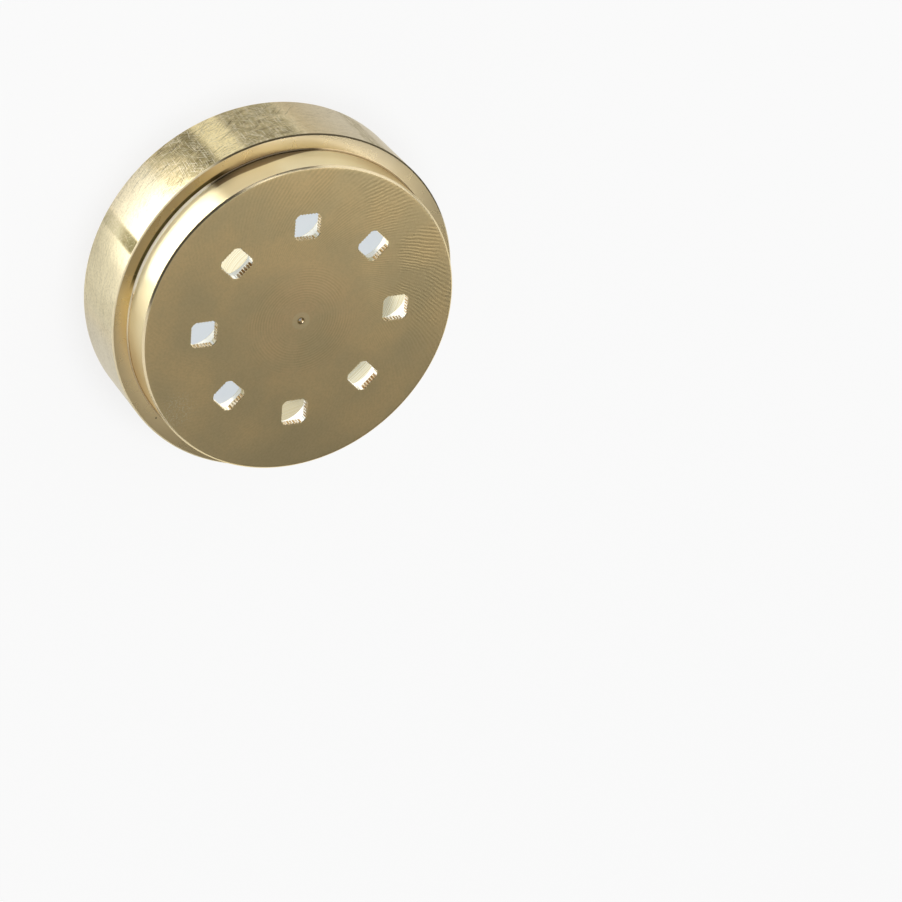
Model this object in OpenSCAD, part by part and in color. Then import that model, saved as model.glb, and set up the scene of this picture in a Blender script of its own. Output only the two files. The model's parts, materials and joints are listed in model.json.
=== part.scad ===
// Pasta extrusion die: one turned piece of brass that a ring nut clamps on the mouth of a small extruder.
// The dough fills the chamber in the back, is pressed into the feed bores and leaves by the square orifices.
// +Z runs along the axis of the die, towards the extrusion face. The origin is the centre of the back rim,
// on which the die rests. Lengths are in millimetres.

/* [Body] */
// Diameter of the body behind the shoulder
body_d = 57; // [55:0.5:70]
// Height of the body, from the back rim to the shoulder
body_h = 12.5; // [10:0.5:20]
// Chamfer on the outer edges of the body
body_edge = 0.2; // [0.1:0.05:0.8]

/* [Spigot] */
// Diameter of the spigot that stands out through the ring nut
spigot_d = 51.8; // [50.4:0.2:53.4]
// Height of the spigot, from the shoulder to the extrusion face
spigot_h = 6; // [4:0.5:10]
// Chamfer round the extrusion face
face_edge = 0.3; // [0.1:0.05:0.8]
// Fillet between the spigot and the shoulder
spigot_root_r = 0.3; // [0.2:0.05:0.7]

/* [Dough chamber] */
// Wall between the chamber, which opens to the back, and the outside of the spigot
spigot_wall = 1.9; // [1.2:0.1:3.5]
// Thickness of the plate between the chamber and the extrusion face
plate_h = 5.2; // [3:0.1:8]
// Fillet between the chamber wall and the plate
chamber_corner_r = 2; // [0.5:0.1:2.4]
// Chamfer on the mouth of the chamber
mouth_edge = 0.5; // [0.1:0.1:1]

/* [Centre hub] */
// Diameter of the hub that stands on the back of the plate
hub_d = 14; // [12:0.5:18]
// Distance of the hub's end from the back rim, inside the chamber
hub_setback = 1.5; // [0.5:0.1:4]
// Fillet between the hub and the plate
hub_root_r = 1; // [0.2:0.1:1.6]
// Chamfer on the outer edge of the hub's end
hub_edge = 0.4; // [0.1:0.1:1]
// Diameter of the blind bore that guides the tip of the feed screw
tip_bore_d = 8; // [4:0.5:9]
// Depth of that bore
tip_bore_h = 8; // [3:0.5:10]

/* [Orifices] */
// Number of orifices on the pitch circle
orifice_count = 8; // [4:1:9]
// Diameter of the pitch circle
pitch_d = 32; // [30:0.5:36]
// Side of each square orifice, between the flats
orifice_side = 4; // [3:0.1:5]
// Corner radius of each orifice
orifice_corner_r = 0.7; // [0.3:0.05:0.9]
// Length of the land, the straight mouth of an orifice behind the face
land_h = 1.1; // [0.6:0.1:2.4]
// Diameter of the feed bore behind each orifice
feed_d = 9; // [7.5:0.1:10]

/* [Flutes in the land] */
// Number of flutes in each side of an orifice
flute_count = 6; // [2:1:6]
// Distance between neighbouring flutes
flute_pitch = 0.5; // [0.4:0.02:0.64]
// Radius of the rounded cutter that makes a flute
flute_r = 0.28; // [0.2:0.02:0.5]
// Depth of a flute below the flat
flute_depth = 0.13; // [0.03:0.01:0.15]

/* [Lathe centre mark] */
// Diameter of the mark in the middle of the extrusion face
mark_d = 0.9; // [0.4:0.1:2]
// Included angle of the mark
mark_angle = 60; // [60:30:120]

/* [Hidden] */
$fn = 96;
brass = "#bda774";
// How far a cutting shape runs past the face that it opens
overrun = 1;

body_r = body_d / 2;
spigot_r = spigot_d / 2;
chamber_r = spigot_r - spigot_wall;
hub_r = hub_d / 2;
face_z = body_h + spigot_h;
plate_z = face_z - plate_h;
land_z = face_z - land_h;
// Half the width of the mark's cone for each millimetre of its height
mark_slope = tan(mark_angle / 2);

// A fillet of radius r in the corner between the two axes
module corner_fillet(r) {
    difference() {
        square(r);
        translate([r, r]) circle(r);
    }
}

// Half of the outer outline, turned about the axis
module outline() {
    polygon([
        [0, 0],
        [body_r - body_edge, 0],
        [body_r, body_edge],
        [body_r, body_h - body_edge],
        [body_r - body_edge, body_h],
        [spigot_r, body_h],
        [spigot_r, face_z - face_edge],
        [spigot_r - face_edge, face_z],
        [0, face_z]
    ]);
    translate([spigot_r, body_h]) corner_fillet(spigot_root_r);
}

// Half of the hub, before it is bored
module hub_section() {
    polygon([
        [0, hub_setback],
        [hub_r - hub_edge, hub_setback],
        [hub_r, hub_setback + hub_edge],
        [hub_r, plate_z],
        [0, plate_z]
    ]);
    translate([hub_r, plate_z]) rotate(-90) corner_fillet(hub_root_r);
}

// Half of the blind bore in the hub
module tip_bore_section() {
    translate([0, hub_setback - overrun]) square([tip_bore_d / 2, tip_bore_h + overrun]);
}

// Half of the space that the chamber takes out of the body
module chamber_section() {
    difference() {
        union() {
            translate([0, -overrun]) square([chamber_r, plate_z + overrun]);
            polygon([
                [0, -overrun],
                [chamber_r + mouth_edge + overrun, -overrun],
                [chamber_r, mouth_edge],
                [0, mouth_edge]
            ]);
        }
        translate([chamber_r, plate_z]) rotate(180) corner_fillet(chamber_corner_r);
        hub_section();
    }
}

// A square with round corners, centred on the origin
module rounded_square(side, r) {
    inner = side - 2 * r;
    square([side, inner], center = true);
    square([inner, side], center = true);
    for (x = [-1, 1], y = [-1, 1]) {
        translate([x * inner / 2, y * inner / 2]) circle(r);
    }
}

// The fluted outline of an orifice
module orifice_outline() {
    rounded_square(orifice_side, orifice_corner_r);
    for (quarter = [0:3], i = [0:flute_count - 1]) {
        along = (i - (flute_count - 1) / 2) * flute_pitch;
        rotate(90 * quarter) translate([orifice_side / 2 + flute_depth - flute_r, along]) circle(flute_r);
    }
}

// One passage for the dough: a feed bore from the chamber, then the fluted land
module passage() {
    translate([0, 0, plate_z - overrun]) cylinder(d = feed_d, h = plate_h - land_h + overrun);
    translate([0, 0, land_z - overrun]) linear_extrude(land_h + 2 * overrun) orifice_outline();
}

// The cone that a lathe centre leaves in the face
module centre_mark() {
    h = mark_d / 2 / mark_slope;
    translate([0, 0, face_z - h]) cylinder(r1 = 0, r2 = mark_slope * (h + overrun), h = h + overrun);
}

module pasta_die() {
    color(brass) difference() {
        rotate_extrude() difference() {
            outline();
            chamber_section();
            tip_bore_section();
        }
        for (i = [0:orifice_count - 1]) {
            rotate(i * 360 / orifice_count) translate([pitch_d / 2, 0, 0]) passage();
        }
        centre_mark();
    }
}

pasta_die();
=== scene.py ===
"""A pasta extrusion die of turned brass on a white studio floor."""
import json
import math

import bmesh
import bpy
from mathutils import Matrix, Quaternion, Vector
from mathutils.geometry import delaunay_2d_cdt


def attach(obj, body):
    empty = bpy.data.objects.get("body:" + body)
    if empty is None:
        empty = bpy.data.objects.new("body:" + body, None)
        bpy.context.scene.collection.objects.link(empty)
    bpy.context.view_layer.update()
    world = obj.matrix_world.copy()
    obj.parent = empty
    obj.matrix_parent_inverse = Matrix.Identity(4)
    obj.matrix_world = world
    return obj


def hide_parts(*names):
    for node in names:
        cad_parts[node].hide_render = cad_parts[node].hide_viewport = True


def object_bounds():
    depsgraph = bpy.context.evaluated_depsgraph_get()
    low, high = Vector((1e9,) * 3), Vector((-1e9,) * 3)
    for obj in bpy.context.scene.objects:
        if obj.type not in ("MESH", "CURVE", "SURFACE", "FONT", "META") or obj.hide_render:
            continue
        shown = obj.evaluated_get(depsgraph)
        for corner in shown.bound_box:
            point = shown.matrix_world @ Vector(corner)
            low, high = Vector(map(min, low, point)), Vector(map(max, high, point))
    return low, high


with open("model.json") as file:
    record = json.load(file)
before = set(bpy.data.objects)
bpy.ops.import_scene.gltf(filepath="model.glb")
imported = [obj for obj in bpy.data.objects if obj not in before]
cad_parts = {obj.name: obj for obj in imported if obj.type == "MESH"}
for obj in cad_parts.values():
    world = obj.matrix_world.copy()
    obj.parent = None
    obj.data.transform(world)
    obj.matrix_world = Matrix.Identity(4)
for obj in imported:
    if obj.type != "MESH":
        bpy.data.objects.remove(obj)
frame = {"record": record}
cad_low, cad_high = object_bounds()
MM = 0.001
DIE = "pasta_die"

# Sizes of the die in millimetres: the first ones come from the frame, the rest repeat the CAD source
mounts = {m["name"]: m for m in frame["record"]["mounts"]}
BODY_R = min(-cad_low.x, -cad_low.y, cad_high.x, cad_high.y) / MM
FACE_Z = cad_high.z / MM
SPIGOT_R = mounts["spigot"]["dims"]["r_mm"]
SHOULDER_Z = mounts["shoulder"]["pos_m"][2] / MM
TIP_BORE_R = mounts["screw_tip_bore"]["dims"]["r_mm"]
TIP_BORE_H = mounts["screw_tip_bore"]["dims"]["length_mm"]
BODY_EDGE = 0.2
FACE_EDGE = 0.3
ROOT_R = 0.3
CHAMBER_R = 24.0
CHAMBER_CORNER_R = 2.0
MOUTH_EDGE = 0.5
PLATE_H = 5.2
PLATE_Z = FACE_Z - PLATE_H
HUB_R = 7.0
HUB_SETBACK = 1.5
HUB_ROOT_R = 1.0
HUB_EDGE = 0.4
ORIFICES = 8
PITCH_R = 16.0
ORIFICE_SIDE = 4.0
ORIFICE_CORNER_R = 0.7
LAND_H = 1.1
LAND_Z = FACE_Z - LAND_H
FEED_R = 4.5
FLUTES = 6
FLUTE_PITCH = 0.5
FLUTE_R = 0.28
FLUTE_DEPTH = 0.13
MARK_R = 0.45
MARK_HALF_ANGLE = 30.0
# The tip of the centre mark is filled with dirt, up to where the cone has this radius
MARK_END_R = 0.26
MARK_END_Z = FACE_Z - (MARK_R - MARK_END_R) / math.tan(math.radians(MARK_HALF_ANGLE))

# The burr that a worker takes off every turned edge, and off the rim of every orifice
EDGE_BREAK = 0.06
RIM_BREAK = 0.05
# How finely the mesh follows the circles
TURN_STEPS = 360
BORE_STEPS = 96
# Edges that bend by more degrees than this are shaded sharp
SHARP_ANGLE = 28.0
# Width of the flat ring that joins a turned profile to a flat face
SKIRT = 0.5

# The camera, as fitted to the photograph: where it stands, where it points and how it is rolled
CAMERA_AT = Vector((-25.98, -287.11, 404.13)) * MM
VIEW_AZIMUTH = -4.47
VIEW_ELEVATION = 49.62
VIEW_ROLL = 137.6
LENS = 125.1
SENSOR = 36.0

# Brass keeps its colour where it is seen at a glancing angle, and the dulled outer wall turns grey there
EDGE_TINT = (0.92, 0.82, 0.58, 1.0)
DULL_TINT = (0.90, 0.89, 0.85, 1.0)

# Half the floor's side, and how far it lies below the die's rim so that the two don't coincide, in metres
FLOOR_HALF = 4.0
FLOOR_GAP = 0.00002
FLOOR_COLOR = (0.9, 0.9, 0.9, 1)
# How much of the floor's white is its own glow, where the camera or a reflection sees it
FLOOR_GLOW = 0.90
# How much of that glow is left under the die, as painted shade, and its bluish colour there
UNDER_DIE = 0.74
UNDER_COLOR = (0.85, 0.925, 1.0)
# The painted shade: the glow fades in from this radius, under the die, to this far outside it, in millimetres
SHADE_FROM = CHAMBER_R - 2.0
SHADE = 6.0
# Radiance of the room's walls, of the wall behind the die, and what the ceiling adds
ROOM_LIGHT = 0.09
BEHIND_LIGHT = 0.14
CEILING_LIGHT = 0.30
# Height of the lamps that lie on the floor, in metres
STRIP_Z = 0.5 * MM


def direction(azimuth, elevation):
    """The unit vector from the die to a viewer at that azimuth and elevation: azimuth 0 looks along +Y."""
    a, e = math.radians(azimuth), math.radians(elevation)
    return Vector((math.sin(a) * math.cos(e), -math.cos(a) * math.cos(e), math.sin(e)))


def place(obj):
    bpy.context.scene.collection.objects.link(obj)
    return obj


def make_camera():
    data = bpy.data.cameras.new("camera")
    data.lens = LENS
    data.sensor_width = SENSOR
    data.clip_start = 0.01
    data.clip_end = 20.0
    camera = place(bpy.data.objects.new("camera", data))
    camera.location = CAMERA_AT
    upright = (-direction(VIEW_AZIMUTH, VIEW_ELEVATION)).to_track_quat("-Z", "Y")
    camera.rotation_mode = "QUATERNION"
    camera.rotation_quaternion = upright @ Quaternion((0, 0, 1), math.radians(VIEW_ROLL))
    bpy.context.scene.camera = camera


class Tree:
    """Short calls that add nodes to a node tree and return their output."""

    def __init__(self, tree):
        self.tree = tree
        self.tree.nodes.clear()

    def node(self, kind, **settings):
        made = self.tree.nodes.new("ShaderNode" + kind)
        for key, value in settings.items():
            setattr(made, key, value)
        return made

    def put(self, socket, value):
        if isinstance(value, bpy.types.NodeSocket):
            self.tree.links.new(value, socket)
        else:
            socket.default_value = value

    def math(self, operation, a, b=0.0, c=0.0):
        made = self.node("Math", operation=operation)
        for socket, value in zip(made.inputs, (a, b, c)):
            self.put(socket, value)
        return made.outputs[0]

    def add(self, *values):
        total = values[0]
        for value in values[1:]:
            total = self.math("ADD", total, value)
        return total

    def times(self, *values):
        total = values[0]
        for value in values[1:]:
            total = self.math("MULTIPLY", total, value)
        return total

    def most(self, *values):
        highest = values[0]
        for value in values[1:]:
            highest = self.math("MAXIMUM", highest, value)
        return highest

    def wave(self, angle):
        """A sine wave between 0 and 1."""
        return self.add(self.times(self.math("SINE", angle), 0.5), 0.5)

    def length(self, x, y):
        return self.math("SQRT", self.add(self.times(x, x), self.times(y, y)))

    def dot(self, a, b):
        made = self.node("VectorMath", operation="DOT_PRODUCT")
        self.put(made.inputs[0], a)
        self.put(made.inputs[1], b)
        return made.outputs["Value"]

    def stretch(self, vector, factors):
        made = self.node("VectorMath", operation="MULTIPLY")
        self.put(made.inputs[0], vector)
        self.put(made.inputs[1], factors)
        return made.outputs["Vector"]

    def step(self, value, low, high, out_low=0.0, out_high=1.0):
        """A smooth step from out_low to out_high as the value goes from low to high."""
        made = self.node("MapRange", interpolation_type="SMOOTHSTEP")
        for socket, given in zip(made.inputs, (value, low, high, out_low, out_high)):
            self.put(socket, given)
        return made.outputs["Result"]

    def window(self, value, low, high, blur):
        """One between low and high and zero outside, with blurred ends."""
        rise = self.step(value, low - blur, low + blur)
        fall = self.step(value, high - blur, high + blur, 1.0, 0.0)
        return self.times(rise, fall)

    def join(self, x, y, z):
        made = self.node("CombineXYZ")
        for socket, value in zip(made.inputs, (x, y, z)):
            self.put(socket, value)
        return made.outputs[0]

    def noise(self, vector, detail=2.0, roughness=0.5):
        made = self.node("TexNoise", noise_dimensions="3D")
        self.put(made.inputs["Vector"], vector)
        self.put(made.inputs["Scale"], 1.0)
        self.put(made.inputs["Detail"], detail)
        self.put(made.inputs["Roughness"], roughness)
        return made.outputs["Fac"]

    def grooves(self, value, per_mm, detail=2.0):
        """Tool marks: a noise that depends on one length only."""
        made = self.node("TexNoise", noise_dimensions="1D")
        self.put(made.inputs["W"], value)
        self.put(made.inputs["Scale"], per_mm)
        self.put(made.inputs["Detail"], detail)
        return made.outputs["Fac"]

    def mix(self, factor, a, b):
        """A colour between a and b. The node's inputs 6 and 7 and its output 2 are the ones for colours."""
        made = self.node("Mix", data_type="RGBA")
        self.put(made.inputs["Factor"], factor)
        self.put(made.inputs[6], (*a, 1.0) if isinstance(a, tuple) else a)
        self.put(made.inputs[7], (*b, 1.0) if isinstance(b, tuple) else b)
        return made.outputs[2]

    def bump(self, height, microns, normal=None):
        """Relief of the given depth where the height goes from 0 to 1."""
        made = self.node("Bump")
        self.put(made.inputs["Strength"], 1.0)
        self.put(made.inputs["Distance"], microns * 1e-6)
        self.put(made.inputs["Height"], height)
        if normal is not None:
            self.put(made.inputs["Normal"], normal)
        return made.outputs["Normal"]


class Finish(Tree):
    """A brass material, with the place on the die in millimetres and degrees at hand."""

    def __init__(self, name):
        self.material = bpy.data.materials.new(name)
        self.material.use_nodes = True
        super().__init__(self.material.node_tree)
        self.at = self.stretch(self.node("TexCoord").outputs["Object"], (1 / MM, 1 / MM, 1 / MM))
        parts = self.node("SeparateXYZ")
        self.put(parts.inputs[0], self.at)
        self.x, self.y, self.z = parts.outputs
        self.r = self.length(self.x, self.y)
        self.turn = self.math("ARCTAN2", self.y, self.x)
        self.azimuth = self.times(self.turn, math.degrees(1))

    def speckle(self, per_mm, detail=2.0, roughness=0.5):
        """A noise of so many spots to the millimetre, one number or one each for X, Y and Z."""
        factors = per_mm if isinstance(per_mm, tuple) else (per_mm, per_mm, per_mm)
        return self.noise(self.stretch(self.at, factors), detail, roughness)

    def side(self, azimuth, full, none):
        """One within some degrees of an azimuth and zero beyond some more, without a seam behind the die."""
        a = math.radians(azimuth)
        toward = self.add(self.times(self.x, math.cos(a)), self.times(self.y, math.sin(a)))
        cosine = self.math("DIVIDE", toward, self.r)
        return self.step(cosine, math.cos(math.radians(none)), math.cos(math.radians(full)))

    def spot(self, x, y, radius, blur):
        """One within a small round place on a flat face, seen along Z."""
        dx, dy = self.math("SUBTRACT", self.x, x), self.math("SUBTRACT", self.y, y)
        return self.step(self.length(dx, dy), radius - blur, radius + blur, 1.0, 0.0)

    def close(self, color, roughness, normal, anisotropic=0.0, edge_tint=EDGE_TINT):
        """Ends the material in a metal shader and returns it."""
        shader = self.node("BsdfPrincipled")
        self.put(shader.inputs["Base Color"], color)
        self.put(shader.inputs["Metallic"], 1.0)
        self.put(shader.inputs["Specular Tint"], edge_tint)
        self.put(shader.inputs["Roughness"], roughness)
        self.put(shader.inputs["Normal"], normal)
        if anisotropic:
            # The tangent runs round the axis; a quarter turn lays the stretched gloss across the tool marks
            self.put(shader.inputs["Anisotropic"], anisotropic)
            self.put(shader.inputs["Anisotropic Rotation"], 0.25)
            tangent = self.node("Tangent", direction_type="RADIAL", axis="Z")
            self.put(shader.inputs["Tangent"], tangent.outputs[0])
        out = self.node("OutputMaterial")
        self.put(out.inputs["Surface"], shader.outputs[0])
        return self.material


def face_finish():
    """The lapped face: fanned grinding marks, turned rings round the centre, dull patches and some dirt."""
    f = Finish("brass_face")
    cloud = f.speckle(0.10, 3.0)
    grain = f.speckle(3.0, 3.0, 0.6)
    wobble = f.speckle(0.20)
    marked = f.step(f.speckle(0.22), 0.34, 0.56, 0.25, 1.0)

    # Spiral strokes fan out over the outer part of the face, strongest on one side
    stroke_count, curl = 190.0, 0.8
    swirl = f.add(f.turn, f.times(f.math("LOGARITHM", f.r, math.e), curl), f.times(wobble, 0.08))
    fan_side = f.add(f.times(f.side(182.0, 32.0, 90.0), 0.80), 0.20)
    fan = f.times(f.wave(f.times(swirl, stroke_count)), f.step(f.r, 8.0, 15.0), marked, fan_side)
    # The turning tool has left rings round the centre
    rings = f.wave(f.add(f.times(f.r, 14.0), f.times(wobble, 4.0)))
    rings = f.times(rings, f.window(f.r, 3.0, 9.0, 1.5), marked)
    marks = f.add(fan, rings)

    color = f.mix(f.step(cloud, 0.30, 0.70), (0.78, 0.62, 0.33), (0.88, 0.66, 0.33))
    red = f.times(f.step(f.r, 3.0, 13.0, 1.0, 0.0), f.step(cloud, 0.35, 0.60))
    color = f.mix(f.times(red, 0.5), color, (0.88, 0.62, 0.33))
    color = f.mix(f.times(f.step(grain, 0.35, 0.70), 0.25), color, (0.58, 0.45, 0.22))
    color = f.mix(f.times(marks, 0.32), color, (0.50, 0.38, 0.18))
    # A pale ring and dirt round the centre mark, a patch of bright specks, and one dark pit
    halo = f.window(f.r, 0.75, 1.45, 0.12)
    color = f.mix(f.times(halo, 0.35), color, (0.90, 0.78, 0.48))
    specks = f.times(f.step(f.speckle(4.0, 1.0), 0.57, 0.63), f.spot(22.8, -5.0, 2.5, 1.5))
    color = f.mix(f.times(specks, 0.6), color, (0.97, 0.88, 0.62))
    blackening = f.step(f.r, 0.52, 0.62, 1.0, 0.0)
    pit = f.spot(-21.5, 4.1, 0.12, 0.06)
    color = f.mix(f.most(f.times(blackening, 0.85), f.times(pit, 0.5)), color, (0.12, 0.09, 0.04))

    roughness = f.add(0.29, f.times(cloud, 0.08), f.times(marks, 0.03))
    return f.close(color, roughness, f.bump(grain, 4.0, f.bump(marks, 6.0)))


def spigot_finish():
    """The spigot's polished wall: fine turning marks, painted shade on its sides and brown painted shade
    above its root.
    """
    f = Finish("brass_spigot")
    marks = f.grooves(f.z, 5.0, 3.0)
    cloud = f.speckle((0.3, 0.3, 0.6), 3.0)
    color = f.mix(cloud, (0.91, 0.78, 0.47), (0.97, 0.86, 0.57))
    # Painted shade: the wall is darker towards its two sides
    dusky = f.most(f.side(170.0, 16.0, 46.0), f.side(-5.0, 20.0, 46.0))
    color = f.mix(f.times(dusky, 0.9), color, (0.58, 0.44, 0.24))
    warm = f.side(-114.0, 5.0, 14.0)
    color = f.mix(f.times(warm, 0.4), color, (0.76, 0.58, 0.29))
    # The painted shade above the root is a brown crescent: along the wall it grows to 2 mm, sinks a little
    # and then ends
    rise = f.step(f.azimuth, -150.0, -120.0, 0.0, 2.0)
    sink = f.step(f.azimuth, -120.0, -106.0, 0.0, -0.4)
    above = f.math("SUBTRACT", f.z, f.add(rise, sink, SHOULDER_Z))
    # Painted shade: dark brown just above the root on one side
    darkening = f.times(f.step(above, -0.15, 0.20, 1.0, 0.0), f.step(f.azimuth, -105.0, -102.5, 1.0, 0.0))
    color = f.mix(f.times(darkening, 0.85), color, (0.17, 0.10, 0.04))
    low_down = f.step(f.z, SHOULDER_Z + 0.3, SHOULDER_Z + 2.8, 1.0, 0.0)
    roughness = f.add(0.25, f.times(marks, 0.08), f.times(low_down, 0.12))
    return f.close(color, roughness, f.bump(marks, 0.5), 1.0)


def shoulder_finish():
    """The faced shoulder: fine rings, paler and darker parts round it that are painted light and shade, and
    painted shade along the root.
    """
    f = Finish("brass_shoulder")
    marks = f.grooves(f.r, 7.0, 3.0)
    cloud = f.speckle(0.3, 3.0)
    color = f.mix(cloud, (0.80, 0.62, 0.32), (0.88, 0.70, 0.40))
    # Painted light: one side of the shoulder is paler
    pale = f.side(-140.0, 28.0, 40.0)
    color = f.mix(pale, color, (0.87, 0.75, 0.53))
    # Painted shade: one stretch of the shoulder is browner and darker
    brown = f.window(f.azimuth, -101.0, -60.0, 6.0)
    color = f.mix(f.times(brown, 0.66), color, (0.37, 0.30, 0.21))
    # Painted shade: darker towards another side
    dusky = f.side(-168.0, 24.0, 44.0)
    color = f.mix(f.times(dusky, 0.8), color, (0.52, 0.43, 0.26))
    # Painted shade: a black line along the root on one side
    by_root = f.step(f.r, SPIGOT_R + 0.75, SPIGOT_R + 0.95, 1.0, 0.0)
    line = f.times(f.window(f.azimuth, -110.0, -60.0, 3.0), by_root)
    color = f.mix(f.times(line, 0.9), color, (0.05, 0.045, 0.02))
    speck = f.spot(26.6, -2.6, 0.14, 0.08)
    color = f.mix(f.times(speck, 0.9), color, (0.10, 0.06, 0.03))
    roughness = f.add(0.24, f.times(cloud, 0.08))
    return f.close(color, roughness, f.bump(marks, 0.3))


def edge_finish():
    """Chamfers and rims, burnished by handling."""
    f = Finish("brass_edge")
    wear = f.speckle((1.5, 1.5, 3.0), 3.0)
    color = f.mix(wear, (0.78, 0.64, 0.38), (0.88, 0.76, 0.52))
    return f.close(color, f.add(0.14, f.times(wear, 0.10)), f.bump(wear, 1.0))


def body_edge_finish():
    """The chamfer between the outer wall and the shoulder: burnished, but black along one side."""
    f = Finish("brass_body_edge")
    wear = f.speckle((1.5, 1.5, 3.0), 3.0)
    color = f.mix(wear, (0.86, 0.74, 0.48), (0.93, 0.83, 0.60))
    blackening = f.most(f.step(f.azimuth, -112.0, -104.0, 1.0, 0.0), f.step(f.azimuth, 155.0, 165.0))
    color = f.mix(f.times(blackening, 0.9), color, (0.05, 0.035, 0.015))
    return f.close(color, f.add(0.45, f.times(wear, 0.15)), f.bump(wear, 1.0))


def root_finish():
    """The fillet at the foot of the spigot: a painted highlight on one side, black painted shade next to
    that, and painted shade on its sides.
    """
    f = Finish("brass_root")
    wear = f.speckle((1.0, 1.0, 3.0), 3.0)
    color = f.mix(wear, (0.80, 0.66, 0.42), (0.88, 0.76, 0.54))
    # Painted highlight: one side of the fillet is near white
    bright = f.side(-80.0, 20.0, 24.0)
    color = f.mix(bright, color, (0.97, 0.93, 0.80))
    # Painted shade: the fillet is darker towards its two sides
    dusky = f.most(f.side(-178.0, 34.0, 46.0), f.side(-5.0, 24.0, 44.0))
    color = f.mix(f.times(dusky, 0.8), color, (0.42, 0.30, 0.15))
    # Painted shade: black next to the painted highlight
    blackening = f.window(f.azimuth, -144.0, -103.0, 3.0)
    color = f.mix(f.times(blackening, 0.9), color, (0.07, 0.045, 0.02))
    roughness = f.add(0.16, f.times(wear, 0.10), f.times(bright, 0.40))
    return f.close(color, roughness, f.bump(wear, 1.0))


def outer_finish():
    """The outer wall: turned, then dulled in patches and scratched where the ring nut rubs it."""
    f = Finish("brass_outer")
    marks = f.grooves(f.z, 6.0, 3.0)
    mottle = f.speckle((2.2, 2.2, 1.2), 5.0, 0.7)
    patch = f.speckle(0.45)
    grain = f.speckle((3.2, 3.2, 2.6), 3.0, 0.65)
    fine = f.speckle((5.0, 5.0, 4.0), 2.0, 0.6)
    sway = f.speckle(0.11, 0.0)
    round_it = f.times(f.turn, BODY_R)

    def scratches(tilt, seed, bend):
        """Thin strokes at a tilt from the horizontal, in degrees, whose direction varies gently."""
        c, s = math.cos(math.radians(tilt)), math.sin(math.radians(tilt))
        along = f.add(f.times(round_it, c), f.times(f.z, s))
        across = f.add(f.times(round_it, -s), f.times(f.z, c), f.times(sway, bend))
        return f.noise(f.join(f.times(along, 0.30), f.times(across, 9.0), seed), 1.0)

    level = scratches(4, 1.3, 2.0)
    upright = scratches(86, 5.1, -2.0)
    rising = scratches(32, 9.7, 5.0)
    falling = scratches(-48, 14.2, -5.0)
    light = f.most(f.step(upright, 0.60, 0.65), f.step(falling, 0.63, 0.67))
    dark = f.most(f.step(level, 0.60, 0.65), f.step(rising, 0.62, 0.66))

    # Where the wall is dull: a stripe, two broad zones and some streaks, all mottled
    stripe = f.times(f.window(f.azimuth, -74.0, -69.5, 0.8), f.step(f.z, 4.0, 11.5, 0.25, 1.0))
    first = f.times(f.step(f.azimuth, -108.0, -84.0, 1.0, 0.0), f.step(f.azimuth, -111.0, -107.5))
    second = f.times(f.window(f.azimuth, -136.5, -118.5, 2.2), 0.75)
    streaks = f.times(f.window(f.azimuth, -167.0, -160.0, 1.5), f.step(upright, 0.42, 0.58))
    dull = f.most(stripe, first, second, streaks)
    blotch = f.add(f.times(mottle, 0.6), f.times(fine, 0.5), f.times(patch, 0.5))
    worn = f.times(dull, f.step(blotch, 0.64, 0.88, 0.40, 1.0))
    # Where it is scratched: most in the rubbed part, less in the part that is handled
    rubbed = f.window(f.azimuth, -140.0, -86.0, 5.0)
    handled = f.side(-95.0, 65.0, 95.0)
    scratched = f.add(f.times(rubbed, f.add(f.times(dull, 0.65), 0.25)), f.times(handled, 0.25), 0.06)

    # The tarnish has its own tone on each part of the wall, but the white zone is a painted highlight and the
    # grey sides are painted sheen
    color = f.mix(patch, (0.82, 0.68, 0.39), (0.88, 0.75, 0.47))
    pale = f.window(f.azimuth, -73.0, -42.0, 2.0)
    color = f.mix(f.times(pale, 0.85), color, (0.84, 0.76, 0.53))
    # Painted highlight: the white zone is lighter and paler
    white = f.window(f.azimuth, -92.0, -73.5, 3.0)
    color = f.mix(f.times(white, 0.6), color, (0.92, 0.85, 0.66))
    olive = f.window(f.azimuth, -71.0, -58.0, 4.0)
    color = f.mix(f.times(olive, 0.4), color, (0.52, 0.46, 0.30))
    gold = f.window(f.azimuth, -118.0, -108.5, 1.5)
    color = f.mix(f.times(gold, 0.8), color, (1.0, 0.85, 0.46))
    tan = f.most(f.step(f.azimuth, -141.0, -135.0, 1.0, 0.0), f.step(f.azimuth, 10.0, 60.0))
    color = f.mix(f.times(tan, 0.85), color, (0.56, 0.42, 0.20))
    # Painted sheen: the wall turns grey towards its two sides
    grey = f.most(f.side(-16.0, 14.0, 32.0), f.times(f.side(-176.0, 4.0, 44.0), 0.75))
    color = f.mix(f.times(grey, 0.7), color, (0.72, 0.68, 0.58))

    color = f.mix(f.times(worn, 0.9), color, (0.26, 0.21, 0.08))
    color = f.mix(f.times(stripe, 0.9), color, (0.14, 0.12, 0.05))
    freckles = f.times(f.step(grain, 0.42, 0.68), f.add(f.times(handled, 0.23), 0.12))
    color = f.mix(freckles, color, (0.40, 0.34, 0.18))
    color = f.mix(f.times(dark, scratched, 0.9), color, (0.16, 0.12, 0.05))
    color = f.mix(f.times(light, scratched, 0.55), color, (0.96, 0.90, 0.70))

    roughness = f.add(0.27, f.times(marks, 0.05), f.times(worn, 0.15))
    roughness = f.add(roughness, f.times(pale, 0.10), f.times(white, 0.08))
    rough_relief = f.math("SUBTRACT", f.add(mottle, light), dark)
    relief = f.bump(f.times(rough_relief, f.add(rubbed, 0.10)), 1.8, f.bump(marks, 0.4))
    return f.close(color, roughness, relief, 0.9, DULL_TINT)


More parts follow.
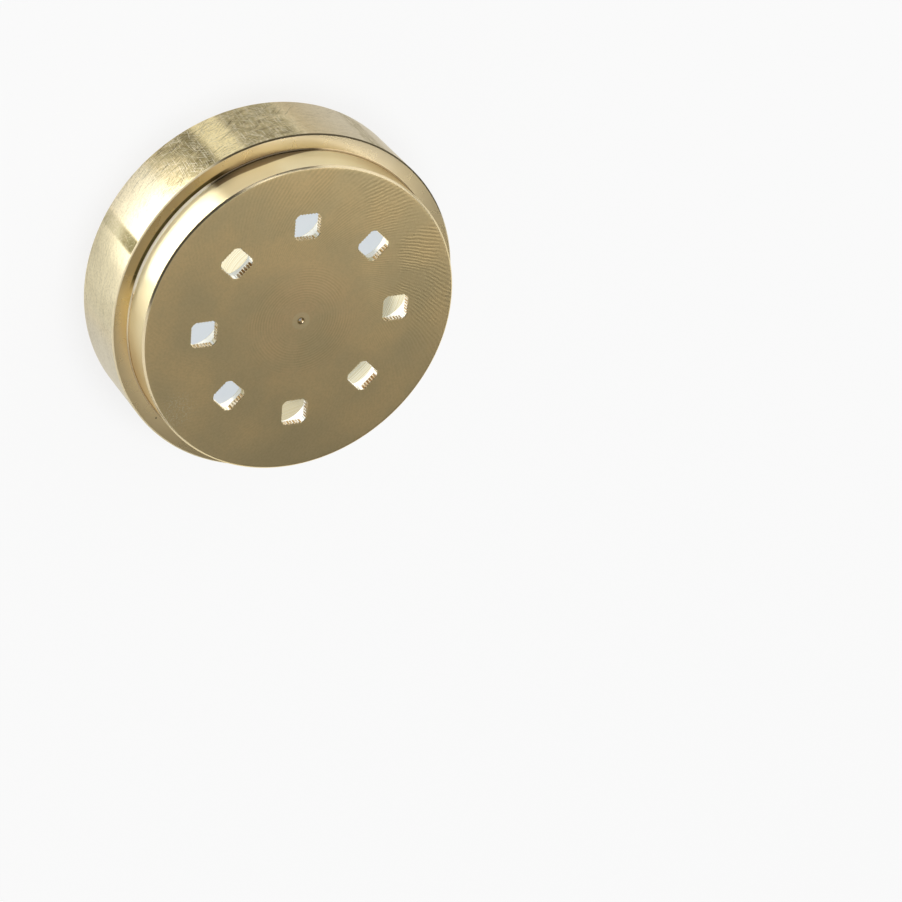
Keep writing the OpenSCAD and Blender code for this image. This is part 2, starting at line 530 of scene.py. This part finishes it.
def inside_finish():
    """The chamber, the hub and the feed bores: turned metal, with painted shade on one side and painted light
    that makes the bores brightest.
    """
    f = Finish("brass_inside")
    marks = f.add(f.grooves(f.z, 4.0, 2.0), f.grooves(f.r, 4.0, 2.0))
    color = f.mix(f.step(marks, 0.80, 1.20), (0.66, 0.56, 0.35), (0.79, 0.75, 0.60))
    # Painted shade: the inside is darker on one side
    dim = f.side(45.0, 16.0, 30.0)
    color = f.mix(f.times(dim, 0.7), color, (0.40, 0.34, 0.22))
    # Painted light: the feed bores are near white
    bores = f.step(f.z, PLATE_Z, PLATE_Z + 0.2)
    color = f.mix(f.times(bores, 0.9), color, (0.99, 0.97, 0.90))
    return f.close(color, f.add(0.20, f.times(marks, 0.06)), f.bump(marks, 2.0))


def land_finish():
    """The fluted lands: near white on the ridges as painted light, and stained by dough in the flutes, two
    orifices most.
    """
    f = Finish("brass_land")
    depth = f.node("Attribute", attribute_name="flute_depth").outputs["Fac"]
    uneven = f.speckle((1.3, 1.3, 0.5))
    darkening = f.times(f.step(depth, 0.15, 0.8), f.step(uneven, 0.35, 0.60, 0.4, 1.0))
    much = f.most(f.side(90.0, 13.0, 20.0), f.side(-90.0, 13.0, 20.0))
    # Painted light: the lands start from a near-white colour
    color = f.mix(f.times(darkening, 0.9), (0.99, 0.97, 0.90), (0.60, 0.38, 0.13))
    color = f.mix(f.times(darkening, f.add(f.times(much, 0.65), 0.30)), color, (0.22, 0.10, 0.03))
    return f.close(color, f.add(0.18, f.times(darkening, 0.15)), f.bump(f.grooves(f.z, 5.0), 0.5))


FINISHES = {
    "face": face_finish,
    "spigot": spigot_finish,
    "shoulder": shoulder_finish,
    "edge": edge_finish,
    "body_edge": body_edge_finish,
    "root": root_finish,
    "outer": outer_finish,
    "inside": inside_finish,
    "land": land_finish,
}


class Shell:
    """A mesh in millimetres that grows by loops of points, walls between loops and flat faces inside them."""

    def __init__(self):
        self.points = []
        self.depths = []
        self.faces = []
        self.finishes = []

    def loop(self, outline, z, depths=None):
        """Adds a closed loop of points at height z and returns their numbers."""
        first = len(self.points)
        self.points += [(x, y, z) for x, y in outline]
        self.depths += depths or [0.0] * len(outline)
        return list(range(first, len(self.points)))

    def face(self, corners, finish):
        self.faces.append(corners)
        self.finishes.append(finish)

    def wall(self, a, b, finish):
        """Joins two loops of equal length by quads, or a loop to a single point by triangles."""
        for i in range(len(a)):
            j = (i + 1) % len(a)
            self.face((a[i], a[j], b[0]) if len(b) == 1 else (a[i], a[j], b[j], b[i]), finish)

    def turn(self, profile, steps=TURN_STEPS):
        """Turns a profile of (r, z, finish of the next run) about the axis and returns its end loops."""
        loops = []
        for r, z, _ in profile:
            loops.append(self.loop([(0.0, 0.0)] if r == 0 else circle(r, steps), z))
        for (a, b), (_, _, finish) in zip(zip(loops, loops[1:]), profile):
            self.wall(a, b, finish)
        return loops[0], loops[-1]

    def flat(self, outer, holes, finish):
        """Fills the flat face inside the outer loop and outside the holes with triangles."""
        loops = [outer] + holes
        numbers = [i for loop in loops for i in loop]
        local = {n: k for k, n in enumerate(numbers)}
        edges = [(local[a], local[b]) for loop in loops for a, b in zip(loop, loop[1:] + loop[:1])]
        spots = [Vector(self.points[n][:2]) for n in numbers]
        _, _, triangles, origins, _, _ = delaunay_2d_cdt(spots, edges, [], 0, 1e-6)
        owner = {n: k for k, hole in enumerate(holes) for n in hole}
        for triangle in triangles:
            corners = tuple(numbers[origins[k][0]] for k in triangle)
            owners = {owner.get(n) for n in corners}
            inside_one = len(owners) == 1 and None not in owners
            if inside_one and self.within(corners, holes[owners.pop()]):
                continue
            self.face(corners, finish)

    def within(self, corners, loop):
        """Whether the middle of a triangle lies inside a loop."""
        x = sum(self.points[n][0] for n in corners) / 3
        y = sum(self.points[n][1] for n in corners) / 3
        odd = False
        for a, b in zip(loop, loop[1:] + loop[:1]):
            (ax, ay, _), (bx, by, _) = self.points[a], self.points[b]
            if (ay > y) != (by > y) and x < ax + (bx - ax) * (y - ay) / (by - ay):
                odd = not odd
        return odd

    def to_mesh(self, name):
        mesh = bpy.data.meshes.new(name)
        mesh.from_pydata([Vector(p) * MM for p in self.points], [], self.faces)
        names = list(FINISHES)
        for make in FINISHES.values():
            mesh.materials.append(make())
        mesh.polygons.foreach_set("material_index", [names.index(finish) for finish in self.finishes])
        mesh.attributes.new("flute_depth", "FLOAT", "POINT").data.foreach_set("value", self.depths)
        work = bmesh.new()
        work.from_mesh(mesh)
        bmesh.ops.recalc_face_normals(work, faces=work.faces)
        work.to_mesh(mesh)
        work.free()
        mesh.shade_smooth()
        mesh.set_sharp_from_angle(angle=math.radians(SHARP_ANGLE))
        return mesh


def circle(radius, steps, x=0.0, y=0.0):
    turn = 2 * math.pi / steps
    return [(x + radius * math.cos(i * turn), y + radius * math.sin(i * turn)) for i in range(steps)]


def rounded(corners, steps=5):
    """Makes a profile from corners (r, z, rounding, finish of the rounding, finish of the next run)."""
    profile = []
    for i, (r, z, rounding, on_arc, on_run) in enumerate(corners):
        if not rounding:
            profile.append((r, z, on_run))
            continue
        here = Vector((r, z))
        before = (Vector(corners[i - 1][:2]) - here).normalized()
        after = (Vector(corners[i + 1][:2]) - here).normalized()
        half = before.angle(after) / 2
        centre = here + (before + after).normalized() * rounding / math.sin(half)
        start = here + before * rounding / math.tan(half) - centre
        end = here + after * rounding / math.tan(half) - centre
        first = math.atan2(start.y, start.x)
        sweep = (math.atan2(end.y, end.x) - first + math.pi) % (2 * math.pi) - math.pi
        for k in range(steps + 1):
            a = first + sweep * k / steps
            at = centre + Vector((math.cos(a), math.sin(a))) * rounding
            profile.append((at.x, at.y, on_arc if k < steps else on_run))
    return profile


def outer_profile():
    """From the back of the plate down the chamber wall, round the rim and up the outside to the face."""
    e = EDGE_BREAK
    return rounded([
        (CHAMBER_R - CHAMBER_CORNER_R - SKIRT, PLATE_Z, 0, "", "inside"),
        (CHAMBER_R, PLATE_Z, CHAMBER_CORNER_R, "inside", "inside"),
        (CHAMBER_R, MOUTH_EDGE, e, "edge", "edge"),
        (CHAMBER_R + MOUTH_EDGE, 0, e, "edge", "shoulder"),
        (BODY_R - BODY_EDGE, 0, e, "edge", "edge"),
        (BODY_R, BODY_EDGE, e, "edge", "outer"),
        (BODY_R, SHOULDER_Z - BODY_EDGE, e, "body_edge", "body_edge"),
        (BODY_R - BODY_EDGE, SHOULDER_Z, e, "body_edge", "shoulder"),
        (SPIGOT_R, SHOULDER_Z, ROOT_R, "root", "spigot"),
        (SPIGOT_R, FACE_Z - FACE_EDGE, e, "edge", "edge"),
        (SPIGOT_R - FACE_EDGE, FACE_Z, e, "edge", "face"),
        (SPIGOT_R - FACE_EDGE - SKIRT, FACE_Z, 0, "", ""),
    ])


def hub_profile():
    """From the back of the plate down the hub, over its end and up the blind bore to the bore's bottom."""
    e = EDGE_BREAK
    return rounded([
        (HUB_R + HUB_ROOT_R + SKIRT, PLATE_Z, 0, "", "inside"),
        (HUB_R, PLATE_Z, HUB_ROOT_R, "inside", "inside"),
        (HUB_R, HUB_SETBACK + HUB_EDGE, e, "edge", "edge"),
        (HUB_R - HUB_EDGE, HUB_SETBACK, e, "edge", "inside"),
        (TIP_BORE_R, HUB_SETBACK, e, "edge", "inside"),
        (TIP_BORE_R, HUB_SETBACK + TIP_BORE_H, 0, "", "inside"),
        (0, HUB_SETBACK + TIP_BORE_H, 0, "", ""),
    ])


def orifice_outline():
    """Points of the fluted square about its centre, and how deep in a flute each one lies, from 0 to 1."""
    flat = ORIFICE_SIDE / 2
    corner = flat - ORIFICE_CORNER_R
    middle = flat + FLUTE_DEPTH - FLUTE_R
    spread = math.acos((flat - middle) / FLUTE_R)
    arc_steps, corner_steps = 10, 10
    side = []
    for i in range(FLUTES):
        along = (i - (FLUTES - 1) / 2) * FLUTE_PITCH
        for k in range(arc_steps + 1):
            a = spread * (2 * k / arc_steps - 1)
            x, y = middle + FLUTE_R * math.cos(a), along + FLUTE_R * math.sin(a)
            in_corner = abs(y) > corner and math.hypot(x - corner, abs(y) - corner) < ORIFICE_CORNER_R
            if not in_corner:
                side.append((x, y, max(0.0, (x - flat) / FLUTE_DEPTH)))
    last = (FLUTES - 1) / 2 * FLUTE_PITCH
    for k in range(1, corner_steps):
        a = math.pi / 2 * k / corner_steps
        x, y = corner + ORIFICE_CORNER_R * math.cos(a), corner + ORIFICE_CORNER_R * math.sin(a)
        in_flute = min(math.hypot(x - middle, y - last), math.hypot(x - last, y - middle)) < FLUTE_R
        if not in_flute:
            side.append((x, y, 0.0))
    points, depths = [], []
    for quarter in range(4):
        c, s = ((1, 0), (0, 1), (-1, 0), (0, -1))[quarter]
        points += [(c * x - s * y, s * x + c * y) for x, y, _ in side]
        depths += [depth for _, _, depth in side]
    return points, depths


def grown(points, by):
    """The outline of an orifice with each side moved outward by a small distance."""
    factor = 1 + 2 * by / ORIFICE_SIDE
    return [(factor * x, factor * y) for x, y in points]


def at_orifice(points, angle):
    """An outline moved from the origin to its place on the pitch circle."""
    c, s = math.cos(angle), math.sin(angle)
    return [(c * (PITCH_R + x) - s * y, s * (PITCH_R + x) + c * y) for x, y in points]


def mark_profile():
    """The cone of the lathe centre's mark, down to the dirt in its tip."""
    return [(MARK_R, FACE_Z, "root"), (MARK_END_R, MARK_END_Z, "inside"), (0, MARK_END_Z, "")]


def die_shell():
    """The whole die: turned profiles, eight passages, and the flat faces between them."""
    shell = Shell()
    plate_outer, face_outer = shell.turn(outer_profile())
    plate_inner, _ = shell.turn(hub_profile())
    mark, _ = shell.turn(mark_profile(), BORE_STEPS)
    outline, depths = orifice_outline()
    rims, mouths = [], []
    for i in range(ORIFICES):
        angle = 2 * math.pi * i / ORIFICES
        square = at_orifice(outline, angle)
        bore = circle(FEED_R, BORE_STEPS, PITCH_R * math.cos(angle), PITCH_R * math.sin(angle))
        rim = shell.loop(at_orifice(grown(outline, RIM_BREAK), angle), FACE_Z)
        lip = shell.loop(square, FACE_Z - RIM_BREAK, depths)
        root = shell.loop(square, LAND_Z, depths)
        bore_top = shell.loop(bore, LAND_Z)
        bore_end = shell.loop(bore, PLATE_Z)
        shell.wall(rim, lip, "edge")
        shell.wall(lip, root, "land")
        shell.flat(bore_top, [root], "inside")
        shell.wall(bore_top, bore_end, "inside")
        rims.append(rim)
        mouths.append(bore_end)
    shell.flat(face_outer, rims + [mark], "face")
    shell.flat(plate_outer, mouths + [plate_inner], "inside")
    return shell


def lamp(name, width, height, radiance, location, rotation):
    """A rectangular lamp that sends out the given radiance and isn't seen by the camera itself."""
    data = bpy.data.lights.new(name, "AREA")
    data.shape = "RECTANGLE"
    data.size, data.size_y = width, height
    data.energy = math.pi * width * height * radiance
    made = place(bpy.data.objects.new(name, data))
    made.visible_camera = False
    made.location = location
    made.rotation_mode = "QUATERNION"
    made.rotation_quaternion = rotation


def soft_box(name, azimuth, elevation, distance, width, height, radiance):
    """A lamp that faces the middle of the die from some side. Its lengths are in metres."""
    toward = direction(azimuth, elevation)
    middle = Vector((0, 0, 0.5 * cad_high.z))
    lamp(name, width, height, radiance, middle + toward * distance, (-toward).to_track_quat("-Z", "Y"))


def floor_strip(name, azimuth, near, far, left, right, radiance):
    """A lamp that lies on the floor on some side of the die and shines upward. Lengths are in millimetres."""
    out = direction(azimuth, 0)
    side = Vector((0, 0, 1)).cross(out)
    location = (out * (near + far) + side * (left + right)) * MM / 2 + Vector((0, 0, STRIP_Z))
    upward = Quaternion((0, 0, 1), math.radians(azimuth)) @ Quaternion((1, 0, 0), math.pi)
    lamp(name, (right - left) * MM, (far - near) * MM, radiance, location, upward)


def make_lamps():
    """The lamps of the studio."""
    # Strips on the floor: azimuth, near and far edge, left and right end, radiance
    floor_strip("key", 17.5, 40.0, 62.0, -29.0, 13.0, 6.0)
    floor_strip("key_end", 17.5, 40.0, 62.0, 13.0, 30.0, 1.6)
    floor_strip("under", 180.0, -16.0, 20.0, -16.0, 16.0, 0.70)
    # Soft boxes: azimuth, elevation, distance, width, height, radiance
    soft_box("key_far", 18, 5, 0.5, 0.66, 0.08, 6.0)
    soft_box("edge", -52, 33, 0.6, 0.40, 0.08, 1.0)
    soft_box("side_low", -102, 17, 0.6, 0.64, 0.28, 1.0)
    soft_box("fill_low", 88, 19, 0.6, 0.72, 0.28, 0.85)
    soft_box("side", -80, 58, 0.8, 1.00, 0.60, 1.1)
    soft_box("fill", 106, 52, 0.8, 0.90, 0.50, 0.65)
    soft_box("back", 208, 58, 0.5, 0.15, 0.15, 2.2)


def make_world():
    """A dim room that grows lighter towards the ceiling and behind the die."""
    world = bpy.data.worlds.new("studio")
    world.use_nodes = True
    t = Tree(world.node_tree)
    way = t.node("TexCoord").outputs["Generated"]
    ceiling = t.step(t.dot(way, (0, 0, 1)), 0.80, 0.99, 0.0, CEILING_LIGHT)
    walls = t.step(t.dot(way, direction(195, 55)), 0.55, 0.95, ROOM_LIGHT, BEHIND_LIGHT)
    back = t.node("Background")
    t.put(back.inputs["Strength"], t.add(ceiling, walls))
    out = t.node("OutputWorld")
    t.put(out.inputs["Surface"], back.outputs[0])
    bpy.context.scene.world = world


def floor_material():
    """A white floor that takes shadows, and glows where the camera or a reflection sees it, with painted
    shade under and round the die.
    """
    material = bpy.data.materials.new("white_floor")
    material.use_nodes = True
    t = Tree(material.node_tree)
    plain = t.node("BsdfDiffuse")
    t.put(plain.inputs["Color"], FLOOR_COLOR)
    path = t.node("LightPath")
    rays = ("Is Camera Ray", "Is Glossy Ray", "Is Transmission Ray")
    seen = t.most(*(path.outputs[ray] for ray in rays))
    where = t.node("SeparateXYZ")
    t.put(where.inputs[0], t.node("TexCoord").outputs["Object"])
    away = t.length(where.outputs["X"], where.outputs["Y"])
    # Painted shade: the glow is dimmer under the die and close round it, and bluish under it
    lit = t.step(away, SHADE_FROM * MM, (BODY_R + SHADE) * MM, UNDER_DIE, 1.0)
    beyond = t.step(away, SHADE_FROM * MM, BODY_R * MM)
    glow = t.node("Emission")
    t.put(glow.inputs["Color"], t.mix(beyond, UNDER_COLOR, (1.0, 1.0, 1.0)))
    share = t.node("MixShader")
    t.put(share.inputs[0], t.times(seen, lit, FLOOR_GLOW))
    t.put(share.inputs[1], plain.outputs[0])
    t.put(share.inputs[2], glow.outputs[0])
    out = t.node("OutputMaterial")
    t.put(out.inputs["Surface"], share.outputs[0])
    return material


def make_floor():
    h = FLOOR_HALF
    mesh = bpy.data.meshes.new("floor")
    mesh.from_pydata([(-h, -h, 0), (h, -h, 0), (h, h, 0), (-h, h, 0)], [], [(0, 1, 2, 3)])
    mesh.materials.append(floor_material())
    floor = place(bpy.data.objects.new("floor", mesh))
    floor.location.z = -FLOOR_GAP


make_camera()
make_world()
make_floor()
make_lamps()

die = place(bpy.data.objects.new("turned_die", die_shell().to_mesh("turned_die")))
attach(die, "root")
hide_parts(DIE)

bpy.context.scene.view_settings.view_transform = "Standard"
